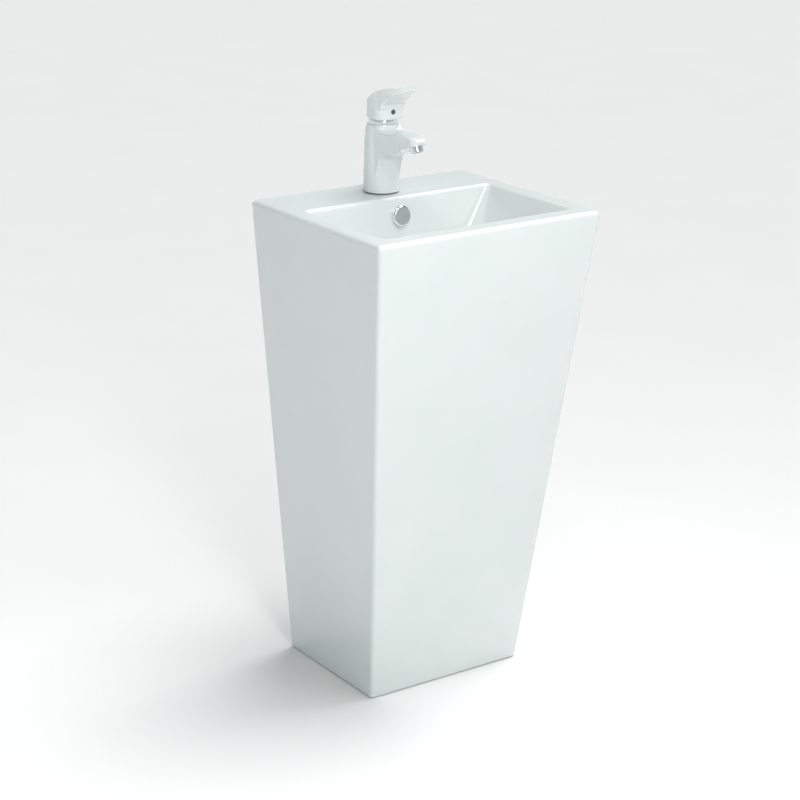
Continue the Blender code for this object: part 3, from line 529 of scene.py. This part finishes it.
def ceramic():
    """One glazed casting with its tap hole, overflow hole and opening towards the wall."""
    body = add_object("fine_ceramic_body", loft(ceramic_loops(), ring=True))
    jamb, knee = ARCH_HALF + ARCH_R, ARCH_TOP - 12
    access = [(-112, -4), (112, -4), (jamb, knee), *arc(ARCH_HALF, ARCH_TOP, ARCH_R, 0, 90, 10),
              *arc(-ARCH_HALF, ARCH_TOP, ARCH_R, 90, 180, 10), (-jamb, knee)]
    opening = loft([[(x, y, z) for x, z in access] for y in (WALL_Y - WALL - 4, WALL_Y + 4)])
    centre, outward = overflow_frame()
    combine(body, [
        add_object("access_cutter", opening),
        drill("tap_hole_cutter", TAP_HOLE_R, tap_point(0, 5), tap_point(0, -40)),
        drill("overflow_cutter", OVERFLOW_HOLE_R, centre + outward * 6, centre - outward * 40)])
    return place(body, "glazed_ceramic", "ceramic_body")


# Overflow --------------------------------------------------------------------------
def overflow():
    """Raised round cap; its side wall stands clear of the bowl so that water gets behind it."""
    centre, outward = overflow_frame()
    turn = outward.to_track_quat("Z", "Y").to_matrix().to_4x4()
    face, skirt, rise = 17.8, 16.0, 8.5
    profile = [(0, rise), (face - 1.9, rise), (face, rise - 1.7), (face, 0.9), (skirt, 0.9),
               (skirt, rise - 3), (5, rise - 3), (5, 4.5), (0, 4.5)]
    cap = add_object("fine_overflow_cap", turned(eased(profile, 0.7)), centre, turn)
    arm = add_object("cap_arm", block((-8.5, -2, -6), (8.5, 2, rise - 2)), centre, turn)
    mouth = add_object("cap_mouth", block((-9, -25, -1), (9, -10, 4.8)), centre, turn)
    combine(cap, [arm], "UNION")
    combine(cap, [mouth])
    place(cap, "chrome", "overflow_cap")
    r = OVERFLOW_HOLE_R - GAP
    bush = [(r, -7.5), (r - 1.8, -7.5), (r - 1.8, 3), (r + 2.5, 3), (r + 2.5, GAP), (r, GAP)]
    turned_piece("overflow_bush", bush, "white_plastic", centre, turn, 0.4)


# Mixer tap -------------------------------------------------------------------------
def tap_point(forward, height, x=0.0):
    """Point so far forward of the middle of the tap's foot and so high above the deck."""
    return (x, TAP_BASE_Y - forward, RIM_Z + height)


def tap_plan(points):
    """Plan outline (x, y) from (forward, sideways) points."""
    return [(x, TAP_BASE_Y - u) for u, x in points]


def tap_outline(points):
    """Side outline (y, z) from (forward, height) points."""
    return [(TAP_BASE_Y - u, RIM_Z + h) for u, h in points]


def aerator_frame():
    """Middle of the aerator's seat under the spout, and the way that the water leaves."""
    down = Vector((0, -math.sin(AERATOR_TILT), -math.cos(AERATOR_TILT)))
    return Vector(tap_point(SPOUT_REACH, AERATOR_SEAT)), down


def tap_column():
    """Column that narrows and leans forward, through rings of (height, radius, shift)."""
    rings = [(1.6, 31.0, 0.0), (2.0, 31.5, 0.0), (3.0, 31.8, 0.0), (20, 31.5, 0.1),
             (40, 31.1, 0.25), (60, 30.7, 0.5), (80, 30.2, 0.8), (95, 29.75, 1.15),
             (105, 29.3, 1.5), (110, 28.8, 1.9), (114, 28.3, 2.4), (117, 27.6, 2.9),
             (119, 27.0, 3.3), (120.4, 26.3, 3.6), (BODY_TOP, 25.6, 3.8)]
    angles = [math.tau * i / 128 for i in range(128)]
    return loft([[tap_point(shift + radius * math.cos(a), height, radius * math.sin(a))
                  for a in angles] for height, radius, shift in rings])


def spout():
    """Plan taper with a round nose, crossed with the side view, and rounded."""
    nose, root = 16.2, 27.4
    plan = tap_plan([(4, root), *arc(SPOUT_REACH, 0, nose, 84, -84, 28), (4, -root)])
    under = curve_through([(12, 22), (20, 36), (26, 52), (31, 64.5), (42, 71), (66, 80.5),
                           (90, 89.8)], 6)
    top = curve_through([(122, 106), (117, 109.5), (100, 112.2), (70, 111.6), (46, 108.5),
                         (35, 109), (27, 113), (20, 118), (8, 119.5)], 6)
    piece = add_object("spout", prism(tap_outline([*under, (118.5, 99.6), *top]), -40, 40, "X"))
    combine(piece, [add_object("spout_plan", prism(plan, RIM_Z, RIM_Z + 130))], "INTERSECT")
    return soften(piece, 3.4, 5)


def tap_body():
    """Leaning column and spout run together, with the aerator's seat and the cartridge bore."""
    body = add_object("fine_faucet_body", tap_column())
    combine(body, [spout()], "UNION")
    melt(body, 0.75, 10)
    aerator, down = aerator_frame()
    bore = turned([(0, BODY_TOP + 4), (20.4, BODY_TOP + 4), (20.4, 112.5), (17.8, 112.5),
                   (17.8, 88), (0, 88)], 64)
    combine(body, [
        add_object("bore_cutter", bore, (0, CART_Y, RIM_Z)),
        drill("foot_cutter", 22, tap_point(0, -5), tap_point(0, 20)),
        *[drill(f"stud_cutter_{s}", 3.3, tap_point(STUD_FORWARD, 15, s * STUD_X),
                tap_point(STUD_FORWARD, 31, s * STUD_X)) for s in (-1, 1)],
        drill("aerator_cutter", 11.2, aerator + down * 6, aerator - down * 6.6)])
    return place(body, "white_paint", "faucet_body")


def aerator():
    """Chrome cup with key flats, and its perforated insert."""
    centre, down = aerator_frame()
    turn = down.to_track_quat("Z", "Y").to_matrix().to_4x4()
    cup = [(12.4, 0.8), (12.4, 9.0), (11.6, 9.8), (8.4, 9.8), (8.4, 8.6), (9.6, 8.6),
           (9.6, -4.4), (10.9, -4.4), (10.9, 0.8)]
    housing = add_object("fine_aerator_housing", turned(eased(cup, 0.35)), centre, turn)
    notches = [add_object(f"notch_{s}", block((s * 12.9 - 1.2, -3, 2.5), (s * 12.9 + 1.2, 3, 7.5)),
                          centre, turn) for s in (-1, 1)]
    combine(housing, notches)
    place(housing, "chrome", "aerator_housing")
    shell = [(0, 8.2), (9.2, 8.2), (9.2, -3.8), (8.0, -3.8), (8.0, 6.4), (0, 6.4)]
    insert = add_object("fine_aerator_insert", turned(eased(shell, 0.3)), centre, turn)
    cells = bmesh.new()
    pitch = 2.1
    for row in range(-4, 5):
        for column in range(-4, 5):
            x, y = pitch * (column + 0.5 * (row % 2)), pitch * 0.866 * row
            if math.hypot(x, y) < 7.2:
                cell = turned(rod(0.8, 5, 10), 12)
                bmesh.ops.translate(cell, verts=cell.verts, vec=(x, y, 0))
                mesh = bpy.data.meshes.new("cell")
                cell.to_mesh(mesh)
                cell.free()
                cells.from_mesh(mesh)
                bpy.data.meshes.remove(mesh)
    combine(insert, [add_object("cells_cutter", cells, centre, turn)])
    place(insert, "grey_plastic", "aerator_insert")


def handle_solid():
    """Hooded handle: round at the back, flat in front, with a pointed lever rising forward."""
    hood = [*arc(4, 0, 27.6, 90, 270, 40), *arc(19.7, -10.3, 17.3, -90, 0, 16),
            *arc(19.7, 10.3, 17.3, 0, 90, 16)]
    edge = curve_through([(22, 26.8), (40, 25.6), (50, 24.3), (63.5, 21.5), (75, 17), (84, 12.4),
                          (92, 7.3), (98, 3.2)], 5)
    lever = [*arc(4, 0, 27.0, 90, 270, 40), *[(u, -x) for u, x in edge],
             *arc(99.3, 0, 2.4, -60, 60, 8), *reversed(edge)]
    body = add_object("fine_lever_handle", prism(tap_plan(hood), RIM_Z + 130.8, RIM_Z + 200))
    blade = prism(tap_plan(lever), RIM_Z + 150.5, RIM_Z + 200)
    combine(body, [add_object("lever_plan", blade)], "UNION")
    under = curve_through([(HOOD_FRONT, 157), (46, 165), (60, 173), (80, 182), (101, 189)], 8)
    top = curve_through([(95, 192.5), (85, 191.8), (60, 189), (40, 185.5), (25, 180.5), (10, 173),
                         (-4, 164), (-16, 155), (-24, 146.5)], 8)
    side = tap_outline([(-40, 134.4), (4, 130.6), (HOOD_FRONT, 130.6), *under, (103, 190.4),
                        (101.5, 191.6), *top, (-40, 135)])
    combine(body, [add_object("handle_side", prism(side, -40, 40, "X"))], "INTERSECT")
    return melt(body, 0.6, 9)


def screw_frame():
    """Frame of the handle's screw: Z runs forward and slightly down, out of the hood."""
    start = Vector((0, CART_Y - 3.2, PIVOT_Z + 28.5))
    return Matrix.Translation(start) @ Matrix.Rotation(math.radians(90) + SCREW_DIP, 4, "X")


def handle_hollow(screw):
    """Room inside the hood, with the bosses for the stem and the screw left standing."""
    rear, front = arc(4, 0, 24.0, 90, 270, 30), arc(8.5, 0, 24.0, -90, 90, 30)
    hollow = add_object("handle_hollow", prism(tap_plan(rear + front), RIM_Z + 125, RIM_Z + 200))
    roof = curve_through([(37, 171), (25, 174), (10, 167), (-4, 158.5), (-13, 151.5), (-21, 143)], 6)
    side = tap_outline([(-30, 120), (37, 120), *roof, (-30, 138)])
    combine(hollow, [add_object("hollow_side", prism(side, -40, 40, "X"))], "INTERSECT")
    boss = turned(rod(9.5, RIM_Z + 140, RIM_Z + 190), 48)
    start, end = screw @ Vector((0, 0, 0)), screw @ Vector((0, 0, 40))
    return combine(hollow, [add_object("stem_boss", boss, (0, CART_Y, 0)),
                            drill("screw_boss", 6.5, start, end)])


def handle():
    """Hollow handle with its socket, screw tunnel and dark button."""
    screw = screw_frame()
    body = handle_solid()
    pivot = Vector((0, CART_Y, PIVOT_Z))
    dome = [(0, -30), (26.4, -30), *arc(0, 0, 26.4, 0, 90, 24)]
    combine(body, [
        add_object("handle_dome", turned(dome, 64), pivot),
        handle_hollow(screw),
        add_object("stem_socket", block((-3.3, -3.5, 10), (3.3, 3.5, 38.5)), pivot),
        drill("screw_tunnel", 2.8, screw @ Vector((0, 0, -1)), screw @ Vector((0, 0, 45))),
        drill("index_seat", 4.3, screw @ Vector((0, 0, 25.4)), screw @ Vector((0, 0, 45)))])
    place(body, "white_paint", "lever_handle")
    at, turn = screw.to_translation(), screw.to_quaternion().to_matrix().to_4x4()
    cap = [(0, 30.7), (2.0, 30.7), (2.3, 30.2), (2.8, 30.2), (3.1, 31.2), (3.6, 31.2), (4.0, 30.6),
           (4.0, 25.7), (0, 25.7)]
    turned_piece("index_cap", cap, "grey_plastic", at, turn, 0.12)


def ring():
    """Chrome cover below the handle, a ball zone about the lift axis."""
    ball, inner, crown = 25.8, 23.6, 17.0
    rise = math.degrees(math.asin(crown / ball))
    outer = arc(0, 0, ball, 0.7, rise, 20)
    inside = arc(0, 0, inner, math.degrees(math.asin((crown - 1.6) / inner)), 15, 12)
    profile = [*outer, (14.0, crown), (14.0, crown - 1.6), *inside, (20.9, 5.0), (20.9, 0.3)]
    item = add_object("fine_bonnet_ring", turned(profile), (0, CART_Y, PIVOT_Z))
    place(item, "chrome", "bonnet_ring")


def tap_fixings():
    """Gasket under the foot, and two threaded studs with their nuts under the deck."""
    deck = RIM_Z - DECK
    turned_piece("tap_gasket", tube(28.5, 19.0, GAP, 1.3), "rubber", tap_point(0, 0), None, 0.3)
    for side, s in (("left", -1), ("right", 1)):
        at = (s * STUD_X, TAP_BASE_Y - STUD_FORWARD, 0)
        low, high = deck - 24, RIM_Z + 30
        threads = [(0, low)]
        z = low
        while z < high - 0.6:
            threads += [(2.55, z), (3.0, z + 0.45)]
            z += 0.9
        item = add_object(f"fine_stud_{side}", turned([*threads, (2.55, high), (0, high)], 32), at)
        place(item, "steel", f"stud_{side}")
        nut = add_object(f"fine_stud_nut_{side}", prism(hexagon(10), deck - 11.0, deck - 5.9), at)
        combine(nut, [drill("nut_bore", 3.3, (at[0], at[1], deck), (at[0], at[1], deck - 20))])
        place(soften(nut, 0.35, 2), "brass", f"stud_nut_{side}")


# Waste and plug --------------------------------------------------------------------
def waste():
    """Flanged waste with its seal, washer and nut, and the plug that lifts out of it."""
    at = (0, DRAIN_Y, 0)
    turned_piece("flange_seal", tube(30.5, 23.5, SEAT_Z + GAP, SEAT_Z + 1.3), "rubber", at, None, 0.3)
    flange = SEAT_Z + 1.6
    profile = [(31.2, flange), (31.8, flange + 1.2), (22.0, flange + 0.6), (18.8, flange - 2.5),
               (18.8, TAIL_Z), (21.0, TAIL_Z), (21.0, flange)]
    body = add_object("fine_waste_body", turned(eased(profile, 0.6)), at)
    combine(body, [add_object("waste_bridge", block((-20, -3, 692), (20, 3, 697)), at),
                   add_object("waste_hub", turned(rod(7.5, 690, 699), 48), at)], "UNION")
    combine(body, [drill("latch_bore", 4.4, (0, DRAIN_Y, 680), (0, DRAIN_Y, 705)),
                   *[add_object(f"slot_{s}", block((-8, s * 20 - 8, 701), (8, s * 20 + 8, 711)), at)
                     for s in (-1, 1)]])
    place(body, "chrome", "waste_body")
    turned_piece("waste_washer", tube(31.0, 21.4, BOSS_Z - 3.3, BOSS_Z - GAP), "rubber", at, None, 0.6)
    nut = add_object("fine_waste_nut", prism(hexagon(52), BOSS_Z - 12.6, BOSS_Z - 3.6), at)
    combine(nut, [drill("waste_nut_bore", 21.3, (0, DRAIN_Y, BOSS_Z), (0, DRAIN_Y, BOSS_Z - 20), 96)])
    place(soften(nut, 0.8, 3), "brass", "waste_nut")
    low = SEAT_Z + 4.6 + PLUG_TRAVEL
    crown = curve_through([(0, 5.0), (12, 4.6), (22, 3.4), (27.5, 1.9), (29.2, 0.9)], 6)
    dome = [*[(r, low + z) for r, z in crown], (29.5, low + 0.4), (29.3, low), (13, low),
            (13, low - 4.5), (0, low - 4.5)]
    cap = add_object("fine_plug_cap", turned(dome), at)
    combine(cap, [drill("plug_thread", 2.8, (0, DRAIN_Y, low - 10), (0, DRAIN_Y, low))])
    place(cap, "chrome", "plug_cap")
    turned_piece("plug_seal", tube(17.6, 13.3, low - 4.2, low - GAP), "rubber", at, None, 0.8)


# Bottle trap -----------------------------------------------------------------------
def grip_nut(node, low, high, outer, bore, at, turn, lip):
    """Coupling nut with twelve finger scallops and a smooth collar."""
    profile = [(outer, low + 1), (outer, high - 1), (outer - 1, high), (bore, high),
               (bore, low + 3), (bore - lip, low + 3), (bore - lip, low), (outer - 1, low)]
    nut = add_object(f"fine_{node}", turned(eased(profile, 0.8)), at, turn)
    groove = rod(2.6, low + 3, high + 2)
    combine(nut, ring_of("scallop", 12, outer + 1.5, groove, 24, at, turn))
    return place(nut, "chrome", node)


def trap():
    """Bottle trap with its inlet, ribbed cup and the outlet that runs to the wall."""
    at = (0, DRAIN_Y, 0)
    tail, top, z = TAIL_Z, TRAP_Z + 108, TRAP_Z
    turned_piece("inlet_tube", [(20.0, tail - 4.3), (20.0, tail - 2.6), (14.5, tail - 2.6),
                 (14.5, z + 25), (16.0, z + 25), (16.0, tail - 4.3)], "chrome", at, None, 0.4)
    grip_nut("inlet_nut", tail - 8, tail + 14, 25.0, 21.4, at, None, 4.5)
    profile = [(32, z + 4), (32, top - 18), (28, top - 12), (20, top - 10), (20, top + 6),
               (16.6, top + 6), (16.6, top - 13), (24, top - 15), (29.5, top - 20), (29.5, z + 4)]
    body = add_object("fine_trap_body", turned(eased(profile, 4.0, 8)), at)
    side = Matrix.Rotation(math.radians(-90), 4, "X")
    out = (0, DRAIN_Y, OUTLET_Z)
    stub = turned(eased(rod(18.5, 26, 50), 0.8))
    combine(body, [add_object("stub", stub, out, side)], "UNION")
    bottle = turned([(0, top - 15), (24, top - 15), (29.5, top - 20), (29.5, z), (0, z)])
    combine(body, [add_object("bottle", bottle, at),
                   drill("stub_bore", 16.4, out, (0, DRAIN_Y + 60, OUTLET_Z), 96)])
    place(body, "chrome", "trap_body")
    grip_nut("trap_neck_nut", -(top + 13), -(top - 8), 25.0, 20.4, at,
             Matrix.Rotation(math.pi, 4, "X"), 3.8)
    turned_piece("cup_seal", tube(32.0, 28.0, z + 1.4, z + 3.7), "rubber", at, None, 0.5)
    cup = add_object("fine_trap_cup", turned(eased([
        (35.5, z + 16), (35.5, z - 6), (31, z - 22), (18, z - 30), (0, z - 32), (0, z - 29.5),
        (17, z - 27.5), (27.5, z - 20), (27.5, z + 1), (32.4, z + 1), (32.4, z + 16)], 3.0, 6)), at)
    combine(cup, ring_of("rib", 24, 36.2, rod(1.4, z + 2, z + 20), 16, at))
    place(cup, "chrome", "trap_cup")
    wall = WALL_Y - DRAIN_Y
    turned_piece("outlet_tube", tube(16.0, 14.5, 34.0, wall), "chrome", out, side, 0.4)
    grip_nut("outlet_nut", -58, -39, 23.5, 18.9, out, Matrix.Rotation(math.radians(90), 4, "X"), 2.4)
    turned_piece("wall_plate", [(16.5, wall - 9), (20, wall - 9), (24, wall - 5), (35, wall - 2),
                 (35, wall - GAP), (16.5, wall - GAP)], "chrome", out, side, 1.6)


# Studio ----------------------------------------------------------------------------
def floor():
    """Wide pale floor that runs out of view."""
    bm = bmesh.new()
    bm.faces.new([bm.verts.new((x * FLOOR_HALF, y * FLOOR_HALF, 0)) for x, y in
                  ((-1, -1), (1, -1), (1, 1), (-1, 1))])
    item = add_object("studio_floor", bm)
    made, tree, shader = finish_material("studio_floor", (0.93, 0.93, 0.93), 0.85)
    shader.inputs["Specular IOR Level"].default_value = 0.0
    tint(tree, noise(tree, 3.0, 2.0), shader, (0.925, 0.928, 0.928), (0.94, 0.94, 0.94))
    item.data.materials.append(made)


def sky():
    """Soft studio surround: pale near the horizon, dim overhead."""
    world = bpy.data.worlds.new("studio")
    bpy.context.scene.world = world
    world.use_nodes = True
    tree = world.node_tree
    coords = tree.nodes.new("ShaderNodeTexCoord")
    split = tree.nodes.new("ShaderNodeSeparateXYZ")
    ramp = tree.nodes.new("ShaderNodeValToRGB")
    low, high = ramp.color_ramp.elements
    low.position, low.color = 0.0, HORIZON
    high.position, high.color = OVERHEAD_FROM, OVERHEAD
    tree.links.new(coords.outputs["Generated"], split.inputs["Vector"])
    tree.links.new(split.outputs["Z"], ramp.inputs["Fac"])
    tree.links.new(ramp.outputs["Color"], tree.nodes["Background"].inputs["Color"])
    tree.nodes["Background"].inputs["Strength"].default_value = SKY_STRENGTH


def sun(name, towards, strength, spread):
    """Wide parallel light that shines along a direction."""
    lamp = bpy.data.lights.new(name, "SUN")
    lamp.energy, lamp.angle = strength, math.radians(spread)
    item = link(name, lamp)
    item.rotation_euler = Vector(towards).to_track_quat("-Z", "Y").to_euler()
    return item


def softbox(name, at, target, width, height, watts):
    """Rectangular light that hangs at a place and faces a target, in metres."""
    lamp = bpy.data.lights.new(name, "AREA")
    lamp.shape, lamp.size, lamp.size_y, lamp.energy = "RECTANGLE", width, height, watts
    item = link(name, lamp)
    item.location = at
    item.rotation_euler = (Vector(target) - Vector(at)).to_track_quat("-Z", "Y").to_euler()


def camera():
    """Long lens that looks down on the front left corner."""
    lens = bpy.data.cameras.new("camera")
    lens.lens, lens.sensor_width, lens.clip_end = FOCAL_LENGTH, SENSOR_WIDTH, CLIP_END
    item = link("camera", lens)
    item.location = CAMERA_AT
    item.rotation_euler = Vector(CAMERA_BACK).to_track_quat("Z", "Y").to_euler()
    bpy.context.scene.camera = item


def studio():
    """Floor, surround, lights, camera and a plain view transform."""
    floor()
    sky()
    sun("key", (-0.35, 0.0, -1.0), 2.2, 40)
    sun("fill", (0.1, 0.25, -1.0), 0.2, 40)
    sun("front", (-0.7, 1.0, -0.75), 0.15, 24).visible_glossy = False
    softbox("window", (-0.9, -2.2, 1.9), (0, 0.1, 0.95), 0.5, 1.1, 22)
    softbox("bowl", (-0.15, -0.75, 1.8), (0, 0.1, 0.85), 0.6, 0.6, 5)
    camera()
    settings = bpy.context.scene.view_settings
    settings.view_transform, settings.look = "Standard", "None"


# Assembly --------------------------------------------------------------------------
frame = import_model()
BODY_OF = {node: item["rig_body"] for node, item in frame["nodes"].items()}
FINISH = make_finishes()
for part in frame["record"]["subparts"]:
    for material_slot in frame["nodes"][part["node"]].material_slots:
        material_slot.material = FINISH[part["material_slot"]]

ceramic()
overflow()
tap_body()
aerator()
handle()
ring()
tap_fixings()
waste()
trap()
studio()
